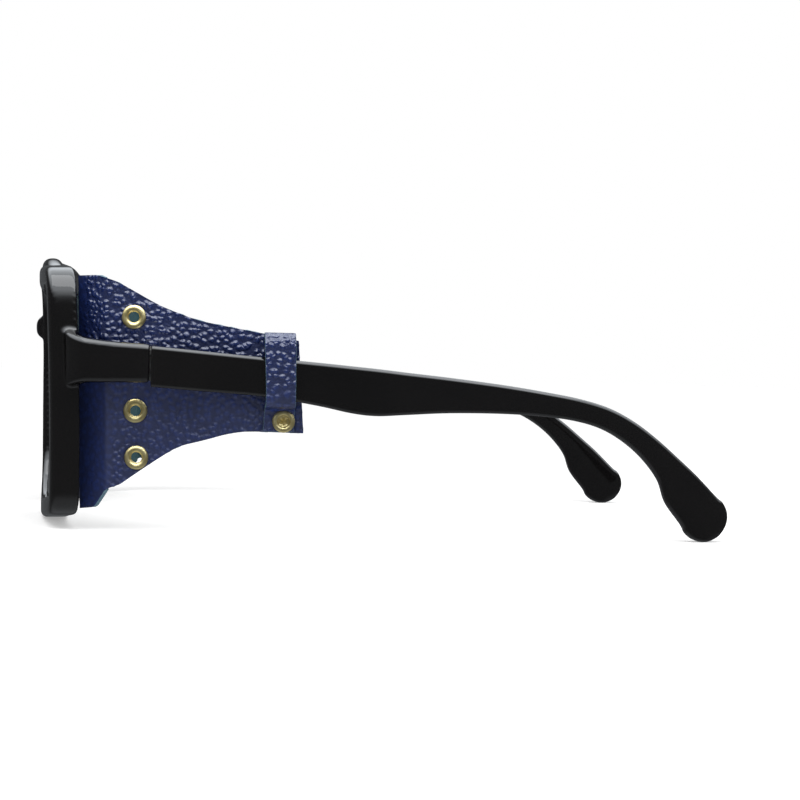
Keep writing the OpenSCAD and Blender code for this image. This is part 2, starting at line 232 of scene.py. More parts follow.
class Bench:
    """Hand modelling, one piece at a time, in millimetres from the joint line until it is set down."""

    @staticmethod
    def clear() -> None:
        """Leaves edit mode and deselects everything."""
        if bpy.context.mode != "OBJECT":
            bpy.ops.object.mode_set(mode="OBJECT")
        bpy.ops.object.select_all(action="DESELECT")

    @staticmethod
    def pick(*pieces: bpy.types.Object) -> None:
        """Selects only these pieces; the first becomes the active one."""
        Bench.clear()
        for piece in pieces:
            piece.select_set(True)
        bpy.context.view_layer.objects.active = pieces[0]

    @staticmethod
    def named(name: str) -> bpy.types.Object:
        """Names the primitive that was just added."""
        piece = bpy.context.active_object
        piece.name = name
        piece.data.name = name
        return piece

    @staticmethod
    def add(name: str, primitive: Callable[..., object], **settings: object) -> bpy.types.Object:
        """Starts a piece from a primitive with the settings given."""
        Bench.clear()
        primitive(**settings)
        return Bench.named(name)

    @staticmethod
    def whole() -> None:
        """Edit step that selects all of the piece."""
        bpy.ops.mesh.select_all(action="SELECT")

    @staticmethod
    def outwards() -> None:
        """Edit step that turns the selected faces outwards."""
        bpy.ops.mesh.normals_make_consistent(inside=False)

    @staticmethod
    def corners(piece: bpy.types.Object) -> np.ndarray:
        """A piece's vertices as rows."""
        co = np.zeros(len(piece.data.vertices) * 3)
        piece.data.vertices.foreach_get("co", co)
        return co.reshape(-1, 3)

    @staticmethod
    def put(piece: bpy.types.Object, places: np.ndarray) -> None:
        """Moves a piece's vertices to new places, in their own order."""
        piece.data.vertices.foreach_set("co", np.asarray(places, np.float32).ravel())
        piece.data.update()

    @staticmethod
    def edit(piece: bpy.types.Object, *steps: Callable[[], object]) -> None:
        """Runs edit-mode steps with the whole piece selected at first."""
        Bench.pick(piece)
        bpy.ops.object.mode_set(mode="EDIT")
        Bench.whole()
        for step in steps:
            step()
        bpy.ops.object.mode_set(mode="OBJECT")

    @staticmethod
    def modify(piece: bpy.types.Object, kind: str, **settings: object) -> None:
        """Adds a modifier and applies it.

        Args:
            piece: The piece it works on.
            kind: Blender's name of the modifier's type.
            settings: The modifier's settings.
        """
        Bench.pick(piece)
        modifier = piece.modifiers.new(kind.lower(), kind)
        for key, value in settings.items():
            setattr(modifier, key, value)
        bpy.ops.object.modifier_apply(modifier=modifier.name)

    @staticmethod
    def loft(name: str, rings: Sequence[np.ndarray]) -> bpy.types.Object:
        """Draws a closed skin through rings, extruding a filled circle from each ring to the next.

        Args:
            name: Name of the new piece.
            rings: Rings with the same number of points, in order.

        Returns:
            The new piece.
        """
        rings = [np.asarray(ring, np.float32) for ring in rings]
        piece = Bench.add(name, bpy.ops.mesh.primitive_circle_add, vertices=len(rings[0]), radius=1.0,
                          fill_type="NGON")
        Bench.put(piece, rings[0])
        Bench.pick(piece)
        bpy.ops.object.mode_set(mode="EDIT")
        Bench.whole()
        for last, ring in zip(rings, rings[1:]):
            bpy.ops.mesh.extrude_region_move()
            mesh = bmesh.from_edit_mesh(piece.data)
            goal = {tuple(map(float, p)): q for p, q in zip(last, ring)}
            for corner in mesh.verts:
                if corner.select:
                    corner.co = goal[tuple(corner.co)]
        bmesh.update_edit_mesh(piece.data)
        Bench.whole()
        Bench.outwards()
        bpy.ops.object.mode_set(mode="OBJECT")
        return piece

    @staticmethod
    def turned(name: str, profile: Sequence[Point], steps: int = 64) -> bpy.types.Object:
        """Spins a closed profile about the X axis.

        Args:
            name: Name of the new piece.
            profile: Points as (distance along X, radius).
            steps: Steps of the full turn.

        Returns:
            The new piece, about the origin.
        """
        piece = Bench.add(name, bpy.ops.mesh.primitive_circle_add, vertices=len(profile), radius=1.0,
                          fill_type="NOTHING")
        Bench.put(piece, np.array([(x, 0.0, r) for x, r in profile]))
        spin = {"steps": steps, "angle": 2 * math.pi, "center": (0, 0, 0), "axis": (1, 0, 0)}
        Bench.edit(piece, lambda: bpy.ops.mesh.spin(**spin), Bench.whole,
                   lambda: bpy.ops.mesh.remove_doubles(threshold=0.001), Bench.outwards)
        return piece

    @staticmethod
    def joined(name: str, pieces: Sequence[bpy.types.Object]) -> bpy.types.Object:
        """Joins pieces into the first one and names it."""
        Bench.pick(*pieces)
        if len(pieces) > 1:
            bpy.ops.object.join()
        return Bench.named(name)

    @staticmethod
    def copied(piece: bpy.types.Object, name: str, mirror: bool = False) -> bpy.types.Object:
        """Copies a piece with its own mesh, and mirrors it to the other side if asked."""
        Bench.pick(piece)
        bpy.ops.object.duplicate(linked=False)
        twin = Bench.named(name)
        if mirror:
            Bench.to_side(twin, Side.RIGHT)
        return twin

    @staticmethod
    def to_side(piece: bpy.types.Object, side: Side) -> None:
        """Mirrors a piece that was modelled for the left side, if it belongs on the right."""
        if side is Side.RIGHT:
            Bench.put(piece, Bench.corners(piece) * (-1, 1, 1))
            Bench.edit(piece, bpy.ops.mesh.flip_normals)

    @staticmethod
    def grid(name: str, along: int, across: int) -> tuple[bpy.types.Object, np.ndarray, np.ndarray]:
        """Starts a sheet from a flat grid.

        Args:
            name: Name of the piece.
            along: Points along it.
            across: Points across it.

        Returns:
            The piece, and each point's share of the way along and of the way across.
        """
        piece = Bench.add(name, bpy.ops.mesh.primitive_grid_add, x_subdivisions=along - 1,
                          y_subdivisions=across - 1, size=2.0)
        start = Bench.corners(piece)
        return piece, (start[:, 0] + 1) / 2, (start[:, 1] + 1) / 2

    @staticmethod
    def moved(piece: bpy.types.Object, x: float, y: float, z: float) -> bpy.types.Object:
        """Moves the mesh of a piece by a distance in millimetres."""
        Bench.edit(piece, lambda: bpy.ops.transform.translate(value=(x, y, z)))
        return piece

    @staticmethod
    def smooth(piece: bpy.types.Object, angle: float = 180.0) -> None:
        """Shades a piece smooth where its faces meet at less than an angle in degrees."""
        Bench.pick(piece)
        if angle >= 180:
            bpy.ops.object.shade_smooth()
        else:
            bpy.ops.object.shade_smooth_by_angle(angle=math.radians(angle))

    @staticmethod
    def set_down(piece: bpy.types.Object) -> None:
        """Brings a finished piece from the bench's millimetres to its place in the frame, in metres."""
        Bench.pick(piece)
        piece.location = (0, JOINT_Y * MM, 0)
        piece.scale = (MM, MM, MM)
        bpy.ops.object.transform_apply(location=True, rotation=True, scale=True)


# ---------------------------------------------------------------- finishes


class Socket:
    """An output of a shader node, on which arithmetic adds Math nodes."""

    def __init__(self, palette: "Palette", port: bpy.types.NodeSocket) -> None:
        """Wraps the output port of a node in palette's tree."""
        self.palette = palette
        self.port = port

    def _math(self, operation: str, first: "Value", second: "Value" = 0.0) -> "Socket":
        """Adds a Math node on two values."""
        return self.palette.node("ShaderNodeMath", {"operation": operation}, {0: first, 1: second})

    def __add__(self, other: "Value") -> "Socket":
        """Self plus other."""
        return self._math("ADD", self, other)

    def __radd__(self, other: "Value") -> "Socket":
        """Other plus self."""
        return self._math("ADD", other, self)

    def __sub__(self, other: "Value") -> "Socket":
        """Self minus other."""
        return self._math("SUBTRACT", self, other)

    def __rsub__(self, other: "Value") -> "Socket":
        """Other minus self."""
        return self._math("SUBTRACT", other, self)

    def __mul__(self, other: "Value") -> "Socket":
        """Self times other."""
        return self._math("MULTIPLY", self, other)

    def __rmul__(self, other: "Value") -> "Socket":
        """Other times self."""
        return self._math("MULTIPLY", other, self)


Value = Socket | float | int | tuple


class Palette:
    """Mixes one material, or the world, from nodes."""

    def __init__(self, tree: bpy.types.NodeTree) -> None:
        """Starts from an empty node tree."""
        self.tree = tree
        tree.nodes.clear()

    def node(self, kind: str, settings: dict[str, object], inputs: dict[str | int, "Value"],
             out: str | int = 0) -> Socket:
        """Adds a node.

        Args:
            kind: Blender's type of the node.
            settings: Settings made first; "stops" are a colour ramp's (place, colour) pairs.
            inputs: Values or links by the socket's name or number.
            out: The output that is returned, by name or number.

        Returns:
            That output.
        """
        node = self.tree.nodes.new(kind)
        for key, value in settings.items():
            if key == "stops":
                self._stops(node, value)
            else:
                setattr(node, key, value)
        for key, value in inputs.items():
            if isinstance(value, Socket):
                self.tree.links.new(value.port, node.inputs[key])
            else:
                node.inputs[key].default_value = value
        return Socket(self, node.outputs[out] if len(node.outputs) else None)

    @staticmethod
    def _stops(node: bpy.types.Node, stops: Sequence[tuple[float, Colour]]) -> None:
        """Sets the stops of a colour ramp."""
        ramp = node.color_ramp.elements
        while len(ramp) < len(stops):
            ramp.new(0.5)
        for element, (place, colour) in zip(ramp, stops):
            element.position = place
            element.color = (*colour, 1.0)

    def coordinates(self, kind: str = "Object") -> Socket:
        """Texture coordinates: Object, in metres, UV, or on the world Generated, which is a direction."""
        return self.node("ShaderNodeTexCoord", {}, {}, kind)

    def noise(self, where: Socket, scale: float, detail: float = 2.0, out: str = "Fac") -> Socket:
        """Soft noise at a scale in features per unit."""
        return self.node("ShaderNodeTexNoise", {}, {"Vector": where, "Scale": scale, "Detail": detail}, out)

    def part(self, vector: Socket, axis: str) -> Socket:
        """One coordinate of a vector: X, Y or Z."""
        return self.node("ShaderNodeSeparateXYZ", {}, {"Vector": vector}, axis)

    def pebbles(self, where: Socket, scale: float, smoothness: float) -> Socket:
        """Distance from the middles of soft flat cells at a scale in cells per unit."""
        return self.node("ShaderNodeTexVoronoi", {"voronoi_dimensions": "2D", "feature": "SMOOTH_F1"},
                         {"Vector": where, "Scale": scale, "Smoothness": smoothness}, "Distance")

    def ramp(self, value: Socket, stops: Sequence[tuple[float, Colour]]) -> Socket:
        """Maps a value to colours by stops."""
        return self.node("ShaderNodeValToRGB", {"stops": stops}, {"Fac": value}, "Color")

    def range(self, value: Socket, low: float, high: float, to_low: float = 0.0,
              to_high: float = 1.0) -> Socket:
        """Maps a value from one range to another, kept inside it."""
        return self.node("ShaderNodeMapRange", {"interpolation_type": "SMOOTHSTEP"},
                         {0: value, 1: low, 2: high, 3: to_low, 4: to_high}, "Result")

    def bump(self, height: Socket, distance: float, strength: float = 1.0) -> Socket:
        """Bump of a height, whose unit stands distance metres high."""
        return self.node("ShaderNodeBump", {},
                         {"Height": height, "Distance": distance, "Strength": strength})

    def surface(self, inputs: dict[str | int, "Value"]) -> None:
        """Ends the material in a Principled shader."""
        shader = self.node("ShaderNodeBsdfPrincipled", {}, inputs)
        self.node("ShaderNodeOutputMaterial", {}, {"Surface": shader})


@dataclass(frozen=True)
class Finish:
    """A finish of the glasses; each kind mixes its own material."""

    name: str
    slot: Slot

    def material(self) -> bpy.types.Material:
        """The finish's material, mixed when it is first used."""
        found = bpy.data.materials.get(self.name)
        if found is None:
            found = bpy.data.materials.new(self.name)
            found.use_nodes = True
            self.mix(Palette(found.node_tree))
        return found

    def mix(self, palette: Palette) -> None:
        """Mixes the material's nodes."""
        raise NotImplementedError

    def dress(self, piece: bpy.types.Object, *others: "Finish") -> None:
        """Gives a piece this finish in its first material slot and the others after it."""
        piece.data.materials.clear()
        for finish in (self, *others):
            piece.data.materials.append(finish.material())


@dataclass(frozen=True)
class BlackPlastic(Finish):
    """Polished black acetate with faint hand smears and a trace of tumbling marks."""

    name: str = "BlackPlastic"
    slot: Slot = Slot.FRAME
    shine: float = 0.05

    def mix(self, palette: Palette) -> None:
        """Black, glossy, and a little uneven."""
        where = palette.coordinates()
        smears = palette.noise(where, 60.0, 3.0)
        specks = palette.noise(where, 2600.0, 1.0)
        waves = palette.noise(where, 190.0, 1.0)
        tone = palette.ramp(palette.noise(where, 35.0),
                            [(0.3, (0.0024, 0.0022, 0.0023)), (0.7, (0.0045, 0.0041, 0.0042))])
        palette.surface({
            "Base Color": tone,
            "Roughness": self.shine + palette.range(smears, 0.5, 0.8, 0.0, 0.05) + specks * 0.01,
            "IOR": 1.49,
            "Normal": palette.bump(waves + specks * 0.04, 0.00006, 0.35)})


@dataclass(frozen=True)
class SmokedLens(Finish):
    """Dark smoked lens, a little lighter towards its lower edge."""

    name: str = "SmokedLens"
    slot: Slot = Slot.LENS

    def mix(self, palette: Palette) -> None:
        """Very dark, glassy and slightly see-through."""
        where = palette.coordinates()
        height = palette.part(where, "Z")
        smears = palette.noise(where, 45.0, 3.0)
        palette.surface({
            "Base Color": palette.ramp(palette.range(height, 0.008, 0.056),
                                       [(0.0, (0.016, 0.013, 0.011)), (1.0, (0.007, 0.006, 0.006))]),
            "Roughness": 0.025 + palette.range(smears, 0.5, 0.8, 0.0, 0.05),
            "IOR": 1.52,
            "Alpha": palette.range(height, 0.004, 0.056, 0.86, 0.95)})


@dataclass(frozen=True)
class GrainLeather(Finish):
    """Navy leather with a pebbled grain, smooth in the band beside the rim."""

    name: str = "GrainLeather"
    slot: Slot = Slot.LEATHER
    pebbles_per_mm: float = 0.72
    depth: float = 0.00028
    band_end: float = 0.09
    shine: float = 0.17

    def mix(self, palette: Palette) -> None:
        """Pebbles with shiny crowns and valleys darkened as painted shade, on coordinates in units of 100
        mm.
        """
        where = palette.coordinates("UV")
        per_unit = 100.0 * self.pebbles_per_mm
        wander = palette.noise(where, per_unit * 0.45, 2.0, "Color")
        shifted = palette.node("ShaderNodeVectorMath", {"operation": "MULTIPLY_ADD"},
                               {0: wander, 1: (0.011, 0.011, 0.0), 2: where})
        pebble = palette.pebbles(shifted, per_unit, 0.35)
        small = palette.pebbles(shifted, per_unit * 2.3, 0.3)
        polish = palette.range(palette.part(where, "Y"), 0.30, 0.42)
        grain = palette.range(palette.part(where, "X") + polish * 0.07, self.band_end - 0.006,
                              self.band_end + 0.012, 0.16)
        pores = palette.noise(where, per_unit * 6, 2.0)
        crown = 1.0 - palette.range(pebble, 0.05, 0.62)
        height = (crown + (1.0 - small) * 0.28 + pores * 0.07) * grain * (0.62 + polish * 0.7)
        patches = palette.noise(where, 9.0, 3.0)
        # Colour is random patches plus painted shade: the valleys between the pebbles are darker than their
        # crowns.
        tone = palette.ramp(patches * 0.45 + crown * 0.24 + 0.06,
                            [(0.15, (0.0062, 0.0118, 0.052)), (0.5, (0.0105, 0.0215, 0.098)),
                             (0.85, (0.017, 0.034, 0.140))])
        palette.surface({
            "Base Color": tone,
            "Roughness": (self.shine + (1.0 - polish) * 0.16 + (1.0 - crown) * 0.12
                          + (1.0 - grain) * 0.08 + pores * 0.05),
            "IOR": 1.48,
            "Specular IOR Level": 0.62,
            "Normal": palette.bump(height, self.depth)})


@dataclass(frozen=True)
class FleshLeather(Finish):
    """The teal flesh side: matte, with short fibres."""

    name: str = "FleshLeather"
    slot: Slot = Slot.LEATHER

    def mix(self, palette: Palette) -> None:
        """Fibrous nap on coordinates in units of 100 mm."""
        where = palette.coordinates("UV")
        nap = palette.noise(where, 420.0, 4.0)
        patches = palette.noise(where, 30.0, 2.0)
        palette.surface({
            "Base Color": palette.ramp(nap * 0.6 + patches * 0.4,
                                       [(0.3, (0.005, 0.030, 0.038)), (0.7, (0.011, 0.062, 0.074))]),
            "Roughness": 0.86,
            "Sheen Weight": 0.25,
            "Normal": palette.bump(nap, 0.00012)})


@dataclass(frozen=True)
class CutLeather(Finish):
    """A cut edge of the leather: dense fibre, pale partly in its own colour and partly as a painted
    highlight.
    """

    name: str = "CutLeather"
    slot: Slot = Slot.LEATHER
    # The pale tone is the fibre's own light colour with a painted highlight added to it.
    pale: Colour = (0.105, 0.19, 0.235)
    dark: Colour = (0.028, 0.062, 0.10)

    def mix(self, palette: Palette) -> None:
        """Layered fibres across the edge."""
        fibres = palette.noise(palette.coordinates("UV"), 600.0, 3.0)
        palette.surface({
            "Base Color": palette.ramp(fibres, [(0.35, self.dark), (0.62, self.pale)]),
            "Roughness": 0.72,
            "Normal": palette.bump(fibres, 0.00006)})


@dataclass(frozen=True)
class PaleBrass(Finish):
    """Bright pale brass with fine handling scratches."""

    name: str = "PaleBrass"
    slot: Slot = Slot.BRASS

    def mix(self, palette: Palette) -> None:
        """Polished metal, duller where it has been touched."""
        where = palette.coordinates()
        worn = palette.noise(where, 420.0, 4.0)
        fine = palette.noise(where, 5200.0, 2.0)
        palette.surface({
            "Base Color": palette.ramp(worn, [(0.3, (0.76, 0.62, 0.27)), (0.7, (0.90, 0.79, 0.43))]),
            "Metallic": 1.0,
            "Roughness": 0.36 + palette.range(worn, 0.4, 0.8, 0.0, 0.14) + fine * 0.05,
            "Normal": palette.bump(fine, 0.00002)})


@dataclass(frozen=True)
class HingeSteel(Finish):
    """Nickel silver of the hinges, drawn along its length."""

    name: str = "HingeSteel"
    slot: Slot = Slot.STEEL

    def mix(self, palette: Palette) -> None:
        """Satin metal with fine drawn lines."""
        where = palette.coordinates()
        lines = palette.noise(palette.node("ShaderNodeVectorMath", {"operation": "MULTIPLY"},
                                           {0: where, 1: (1.0, 0.12, 1.0)}), 3800.0, 2.0)
        palette.surface({
            "Base Color": palette.ramp(lines, [(0.3, (0.46, 0.45, 0.44)), (0.7, (0.66, 0.65, 0.63))]),
            "Metallic": 1.0,
            "Roughness": 0.22 + lines * 0.16,
            "Normal": palette.bump(lines, 0.00002)})


@dataclass(frozen=True)
class StageWhite(Finish):
    """The white floor under the glasses."""

    name: str = "StageWhite"
    slot: Slot = Slot.FRAME
    tone: float = 0.8
    glow: float = 0.325

    def mix(self, palette: Palette) -> None:
        """Even matte white."""
        palette.surface({"Base Color": (self.tone, self.tone, self.tone, 1.0), "Roughness": 1.0,
                         "Specular IOR Level": 0.0, "Emission Color": (self.glow, self.glow, self.glow, 1.0),
                         "Emission Strength": 1.0})


def deliver(piece: bpy.types.Object, finish: Finish, body: str, node: str) -> None:
    """Sets a finished piece down in the frame, dressed and riding on its body.

    Args:
        piece: The piece, modelled on the bench.
        finish: The finish of all its faces.
        body: The body that it rides on.
        node: The CAD node that it replaces.
    """
    Bench.set_down(piece)
    finish.dress(piece)
    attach(piece, body)
    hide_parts(node)


# ---------------------------------------------------------------- the front


@dataclass(frozen=True)
class Bar:
    """A bar from rim to rim, symmetrical about the middle and bowed in plan.

    Its stations are rows of (x, middle z, height) from the middle to the left end.
    """

    name: str
    stations: tuple[Corner, ...]
    front_y: float
    bend: float
    depth: float
    edge_r: float = 2.1

    def build(self) -> bpy.types.Object:
        """The bar, leaned with the rims."""
        half = through(self.stations, 18)
        rings = []
        for x, z, height in np.concatenate([half[:0:-1] * (-1, 1, 1), half]):
            section = bar_section(self.depth, height, self.edge_r)
            y = self.front_y + self.bend - math.sqrt(self.bend ** 2 - x ** 2) + self.depth / 2
            rings.append(leaned(columns(x, y + section[:, 0], z + section[:, 1])))
        return Bench.loft(self.name, rings)


@dataclass
class FrontFrame:
    """The one-piece front: two rims, nose bridge, brow bar and the end pieces that reach the joints."""

    rim: tuple[Corner, ...] = ((65.4, 3.2, 6.5), (68.4, 28, 100), (62.8, 59.4, 9), (38, 61.2, 160),
                               (8.5, 59.8, 11), (3.6, 42, 24), (11, 8, 17), (24, 0, 16), (34, 0.1, 60))
    bridge: Bar = Bar("Bridge", ((0, 46.65, 5.4), (4, 46.65, 5.5), (8.2, 46.65, 6.0)), -32.2, 40.0, 5.2)
    brow: Bar = Bar("BrowBar", ((0, 61.0, 6.0), (10, 61.0, 6.0), (19, 60.8, 5.8), (24.5, 60.0, 4.8),
                                (28.5, 59.2, 3.0)), -30.2, 120.0, 4.9)
    face_r: float = 300.0
    face_wrap: float = math.radians(7.0)
    rim_x: float = 36.0
    rim_front_y: float = -27.8
    rim_t: float = 6.6
    rim_w: float = 4.6
    front_edge_r: float = 1.4
    inner_edge_r: float = 1.0
    rear_edge_r: float = 0.7
    end_edge_r: float = 1.5
    lens_t: float = 2.0
    lens_grip: float = 0.8
    lens_gap: float = 0.03
    lens_rings: int = 12
    pad_half: Place = (1.9, 3.2, 7.1)
    pad_round: float = 1.6
    pad_turn: float = math.radians(24)
    pad_tilt: float = math.radians(-12)
    pad_out: float = 0.5
    voxel: float = 0.34
    polish_rounds: int = 13

    @property
    def face_axis(self) -> Point:
        """Plan of the upright cylinder whose wall is the left rim's front face."""
        return (self.rim_x - self.face_r * math.sin(self.face_wrap),
                self.rim_front_y + self.face_r * math.cos(self.face_wrap))

    def face_y(self, x: np.ndarray) -> np.ndarray:
        """Y of the front face at each x of the left rim."""
        axis_x, axis_y = self.face_axis
        return axis_y - np.sqrt(self.face_r ** 2 - (x - axis_x) ** 2)

    def rim_track(self, count: int) -> tuple[np.ndarray, np.ndarray]:
        """The rim's outline and its outward normals at count even steps."""
        track = Track(rounded(self.rim, step=3.0), closed=True)
        points = track.at(np.linspace(0, track.length, count, endpoint=False))
        for _ in range(3):
            points = 0.5 * points + 0.25 * (np.roll(points, 1, axis=0) + np.roll(points, -1, axis=0))
        along = np.roll(points, -1, axis=0) - np.roll(points, 1, axis=0)
        along /= np.linalg.norm(along, axis=1)[:, None]
        return points, columns(along[:, 1], -along[:, 0])

    def ring(self) -> bpy.types.Object:
        """The left rim, swept round its outline on the curved face, with the lens groove inside."""
        w, t = self.rim_w, self.rim_t
        front, rear = (t - self.lens_t) / 2, (t + self.lens_t) / 2
        groove = w - self.lens_grip
        section = rounded([(0, 0, self.front_edge_r), (0, t, self.rear_edge_r), (w, t, self.rear_edge_r),
                           (w, rear, 0), (groove, rear, 0), (groove, front, 0), (w, front, 0),
                           (w, 0, self.inner_edge_r)], step=15.0)
        points, normals = self.rim_track(240)
        piece = Bench.add("Rim", bpy.ops.mesh.primitive_torus_add, major_segments=len(points),
                          minor_segments=len(section))
        inset = np.array([p[0] for p in section])
        depth = np.array([p[1] for p in section])
        flat = points[:, None, :] - normals[:, None, :] * inset[None, :, None]
        x, z = flat[..., 0].ravel(), flat[..., 1].ravel()
        y = self.face_y(x) + np.tile(depth, len(points))
        Bench.put(piece, leaned(columns(x, y, z)))
        Bench.edit(piece, Bench.outwards)
        return piece

    def end_piece(self) -> bpy.types.Object:
        """The left end piece, from inside the rim back to the joint."""
        stations = [  # inner x, inner y, outer x, outer y, lower z, upper z
            (61.2, -17.4, 63.6, -20.6, 30.6, 46.4),
            (64.2, -16.4, 67.0, -19.4, 31.9, 45.2),
            (66.3, -14.8, 69.4, -17.5, 32.9, 44.2),
            (67.6, -12.2, 71.4, -14.7, 33.5, 43.5),
            (68.2, -9.4, 72.2, -10.8, 33.6, 43.1),
            (68.3, -6.0, 72.5, -6.6, 33.7, 42.8),
            (68.3, -0.2, 72.5, -0.2, 33.8, 42.5)]
        rings = []
        for inner_x, inner_y, outer_x, outer_y, low, high in through(stations, 40):
            across = Vector((outer_x - inner_x, outer_y - inner_y))
            section = bar_section(across.length, high - low, self.end_edge_r)
            share = section[:, 0] / across.length
            rings.append(columns((inner_x + outer_x) / 2 + share * across.x,
                                 (inner_y + outer_y) / 2 + share * across.y,
                                 (low + high) / 2 + section[:, 1]))
        return Bench.loft("EndPiece", rings)

    def build(self) -> bpy.types.Object:
        """The whole front as one smooth body."""
        left = [self.ring(), self.end_piece()]
        right = [Bench.copied(piece, piece.name + "Right", mirror=True) for piece in left]
        piece = Bench.joined("FrontFrame", [*left, *right, self.bridge.build(), self.brow.build()])
        Bench.modify(piece, "REMESH", mode="VOXEL", voxel_size=self.voxel)
        Bench.modify(piece, "SMOOTH", factor=0.5, iterations=self.polish_rounds)
        Bench.smooth(piece)
        deliver(piece, BlackPlastic(), "front", "front_frame")
        return piece

    def lens(self, side: Side) -> bpy.types.Object:
        """One lens: a disc drawn in from its outline, bowed with the rim and given its thickness."""
        points, normals = self.rim_track(120)
        edge = points - normals * (self.rim_w - self.lens_grip + 2 * self.lens_gap)
        middle = edge.mean(axis=0)
        piece = Bench.add(f"Lens{side.name.title()}", bpy.ops.mesh.primitive_circle_add, vertices=len(edge),
                          radius=1.0, fill_type="NOTHING")
        Bench.put(piece, columns(edge[:, 0], 0.0, edge[:, 1]))
        draws = []
        for left in range(self.lens_rings, 1, -1):
            shrink = (left - 1) / left
            draws.append(bpy.ops.mesh.extrude_edges_move)
            draws.append(lambda s=shrink: bpy.ops.transform.resize(
                value=(s, 1, s), center_override=(middle[0], 0, middle[1])))
        Bench.edit(piece, *draws, bpy.ops.mesh.edge_face_add, Bench.whole, Bench.outwards)
        rows = Bench.corners(piece)
        rows[:, 1] = self.face_y(rows[:, 0]) + (self.rim_t - self.lens_t) / 2 + self.lens_gap
        Bench.put(piece, leaned(rows))
        self._face_forward(piece)
        Bench.modify(piece, "SOLIDIFY", thickness=self.lens_t - 2 * self.lens_gap, offset=-1.0)
        Bench.modify(piece, "BEVEL", width=0.25, segments=3, limit_method="ANGLE",
                     angle_limit=math.radians(50))
        Bench.smooth(piece, 40)
        Bench.to_side(piece, side)
        deliver(piece, SmokedLens(), "front", f"lens_{side.word}")
        return piece

    @staticmethod
    def _face_forward(piece: bpy.types.Object) -> None:
        """Turns an open disc's faces to look along -Y."""
        if sum(face.normal.y for face in piece.data.polygons) > 0:
            Bench.edit(piece, bpy.ops.mesh.flip_normals)

    def nose_pad(self, side: Side) -> bpy.types.Object:
        """One nose pad: a soft pillow on the rim's nose side."""
        low, high = (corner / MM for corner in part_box("nose_pad_left"))
        middle = (low + high) / 2
        piece = Bench.add(f"NosePad{side.name.title()}", bpy.ops.mesh.primitive_cube_add, size=2.0)
        Bench.edit(piece,
                   lambda: bpy.ops.transform.resize(value=self.pad_half),
                   lambda: bpy.ops.mesh.bevel(offset=self.pad_round, segments=3, affect="EDGES"),
                   lambda: bpy.ops.mesh.subdivide(number_cuts=2))
        Bench.modify(piece, "SUBSURF", levels=2, render_levels=2)
        turn = Matrix.Rotation(self.pad_turn, 3, "Z") @ Matrix.Rotation(self.pad_tilt, 3, "Y")
        rows = Bench.corners(piece) @ np.array(turn).T
        Bench.put(piece, rows + (middle.x + self.pad_out, middle.y - JOINT_Y, middle.z))
        Bench.smooth(piece)
        Bench.to_side(piece, side)
        deliver(piece, BlackPlastic(), "front", f"nose_pad_{side.word}")
        return piece


# ---------------------------------------------------------------- the temples


@dataclass
class Temple:
    """A temple: a flat bar that narrows, bends down behind the ear and ends in a round paddle."""

    thickness: float = 4.2
    joint_t: float = 3.9
    edge_r: float = 0.95
    reach: float = 134.8
    tuck: float = 10.5
    tip_r: float = 5.7
    tip_angle: float = -50.0

    def stations(self) -> list[tuple[float, ...]]:
        """Rows of (y, z, half height, turn in degrees, thickness) along the middle of the side view."""
        first, *bar = (
            (0.2, 37.48, 4.35, 0.0), (0.5, 37.48, 4.6, 0.0), (1.5, 37.43, 4.6, -1.0),
            (12.0, 36.72, 4.52, -4.0), (26.0, 35.78, 4.42, -5.0), (38.0, 34.5, 4.85, -6.0),
            (46.0, 33.42, 5.3, -7.0), (51.5, 32.95, 5.32, -5.0), (58.0, 32.85, 4.8, -3.0),
            (68.0, 32.72, 4.02, -3.5), (80.0, 32.15, 3.3, -5.0), (90.0, 31.25, 2.82, -8.0),
            (98.0, 30.1, 2.6, -13.0),
            (104.6, 28.3, 2.55, -22.0), (110.4, 25.3, 2.62, -33.0), (115.6, 21.35, 2.85, -40.0),
            (120.2, 16.7, 3.5, -45.0), (123.4, 12.2, 4.85, -49.0))
        rows = [(*first, self.joint_t), *((*row, self.thickness) for row in bar)]
        way = math.radians(self.tip_angle)
        middle = (self.reach - self.tip_r, self.tip_r)
        for turn in (-22, 0, 20, 38, 54, 68, 80):
            t = math.radians(turn)
            reach = self.tip_r * math.sin(t)
            thin = self.thickness * (1 - 0.5 * max(0.0, math.sin(t)) ** 4)
            rows.append((middle[0] + reach * math.cos(way), middle[1] + reach * math.sin(way),
                         self.tip_r * math.cos(t) + 0.02, self.tip_angle, thin))
        return rows

    def build(self, side: Side) -> bpy.types.Object:
        """The temple of one side."""
        rings = []
        for y, z, half, turn, thick in through(self.stations(), 150):
            section = bar_section(thick, 2 * half, self.edge_r)
            t = math.radians(turn)
            across, up = section[:, 0], section[:, 1]
            ring_y = y - up * math.sin(t)
            curve = self.tuck * (np.clip(ring_y, 0, None) / self.reach) ** 2
            ring_x = OUTER_X - self.thickness / 2 + across - curve
            rings.append(columns(ring_x, ring_y, z + up * math.cos(t)))
        piece = Bench.loft(f"Temple{side.name.title()}", rings)
        Bench.to_side(piece, side)
        Bench.smooth(piece, 50)
        deliver(piece, BlackPlastic(), side.arm, f"temple_{side.word}")
        return piece


# ---------------------------------------------------------------- leather and brass


